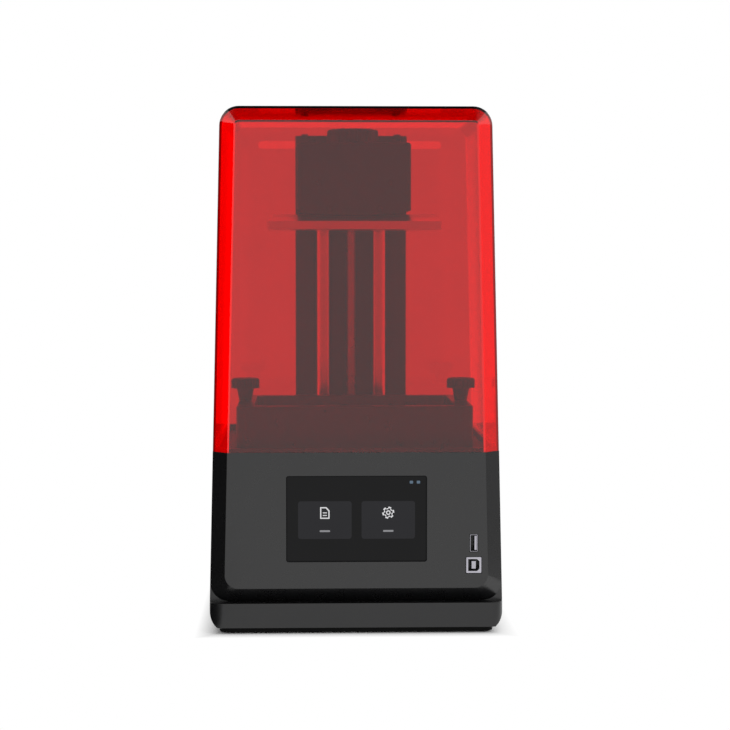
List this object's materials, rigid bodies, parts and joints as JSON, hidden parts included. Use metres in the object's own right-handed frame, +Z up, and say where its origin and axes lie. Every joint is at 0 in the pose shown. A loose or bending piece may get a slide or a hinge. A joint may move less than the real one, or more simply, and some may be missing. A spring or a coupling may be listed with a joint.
{
  "type": "resin three-d printer",
  "caption": "Desktop resin printer with a tinted lift-off cover, touch screen base, clear-bottomed vat and a screw-driven build platform.",
  "frame": {"origin": "middle of the footprint, on the surface it stands on", "axes": "+Z up, -Y towards the front, +X to the right seen from the front"},
  "size_m": [0.226, 0.226, 0.404],
  "materials": {
    "tinted_acrylic": "clear red, polished",
    "housing_black": "satin moulded ABS",
    "deck_black": "black powder coat",
    "rubber": "moulded",
    "brass": "turned",
    "panel_glass": "polished",
    "clear_lens": "moulded acrylic",
    "engine_black": "moulded",
    "circuit_board": "solder resist",
    "lamp": "moulded",
    "bare_aluminium": "satin anodised",
    "black_aluminium": "black anodised",
    "polished_steel": "ground and hardened",
    "zinc_steel": "zinc plated",
    "socket_shell": "nickel plated",
    "black_plastic": "moulded",
    "vat_black": "moulded",
    "film": "stretched clear film"
  },
  "bodies": {
    "base": {"base_housing": "housing_black", "skirt": "housing_black", "bottom_plate": "black_plastic", "rubber_feet": "rubber", "deck_plate": "deck_black", "deck_inserts": "brass", "mask_lcd": "panel_glass", "fresnel_lens": "clear_lens", "light_funnel": "engine_black", "led_board": "bare_aluminium", "led_array": "lamp", "heat_sink": "bare_aluminium", "touch_glass": "panel_glass", "display_module": "black_plastic", "display_bracket": "zinc_steel", "display_screws": "zinc_steel", "usb_a_socket": "socket_shell", "usb_b_socket": "socket_shell", "port_board": "circuit_board", "mainboard": "circuit_board", "board_standoffs": "brass", "fan_frame": "black_plastic", "switch_housing": "black_plastic", "dc_jack": "black_plastic", "column_foot": "black_aluminium", "column_channel": "black_aluminium", "column_cap": "black_aluminium", "screw_bearings": "polished_steel", "guide_rods": "polished_steel", "column_screws": "zinc_steel", "home_switch": "black_plastic", "stepper_motor": "black_aluminium", "motor_bracket": "zinc_steel", "motor_screws": "zinc_steel"},
    "cover": {"cover": "tinted_acrylic"},
    "screw": {"lead_screw": "polished_steel", "shaft_coupler": "bare_aluminium", "motor_shaft": "polished_steel"},
    "carriage": {"carriage": "black_aluminium", "rod_bushes": "brass", "lead_nut": "brass", "arm": "black_aluminium", "arm_screws": "zinc_steel"},
    "platform": {"platform_holder": "black_aluminium", "levelling_screws": "zinc_steel", "clamp_screws": "zinc_steel", "ball_post": "polished_steel", "build_plate": "bare_aluminium"},
    "knob": {"platform_knob": "black_plastic"},
    "vat": {"vat_tub": "vat_black", "film_frame": "polished_steel", "release_film": "film"},
    "clamp_left": {"thumbscrew_left": "black_plastic", "clamp_stud_left": "zinc_steel"},
    "clamp_right": {"thumbscrew_right": "black_plastic", "clamp_stud_right": "zinc_steel"},
    "rocker": {"switch_rocker": "black_plastic"},
    "fan": {"fan_rotor": "black_plastic"}
  },
  "joints": [
    {"name": "cover_lift", "type": "slide", "parent": "base", "child": "cover", "axis": [0, 0, 1], "range_m": [0, 0.265]},
    {"name": "platform_travel", "type": "slide", "parent": "base", "child": "carriage", "axis": [0, 0, 1], "range_m": [-0.1714, 0]},
    {"name": "screw_turn", "type": "hinge", "parent": "base", "child": "screw", "pos_m": [0, 0.0695, 0.2], "axis": [0, 0, 1], "continuous": true},
    {"name": "platform_release", "type": "slide", "parent": "carriage", "child": "platform", "axis": [0, -1, 0], "range_m": [0, 0.046]},
    {"name": "knob_turn", "type": "hinge", "parent": "platform", "child": "knob", "pos_m": [0, 0.012, 0.385], "axis": [0, 0, 1], "continuous": true},
    {"name": "vat_lift", "type": "slide", "parent": "base", "child": "vat", "axis": [0, 0, 1], "range_m": [0, 0.11]},
    {"name": "clamp_left_turn", "type": "hinge", "parent": "vat", "child": "clamp_left", "pos_m": [-0.088, -0.005, 0.16], "axis": [0, 0, 1], "continuous": true},
    {"name": "clamp_right_turn", "type": "hinge", "parent": "vat", "child": "clamp_right", "pos_m": [0.088, -0.005, 0.16], "axis": [0, 0, 1], "continuous": true},
    {"name": "rocker_tip", "type": "hinge", "parent": "base", "child": "rocker", "pos_m": [0.06, 0.107, 0.05], "axis": [0, 0, 1], "range_deg": [0, 24]},
    {"name": "fan_spin", "type": "hinge", "parent": "base", "child": "fan", "pos_m": [-0.058, 0.102, 0.084], "axis": [0, 1, 0], "continuous": true}
  ],
  "couplings": [
    {"joint": "screw_turn", "follows": "platform_travel", "rad_per_m": 785.4}
  ]
}
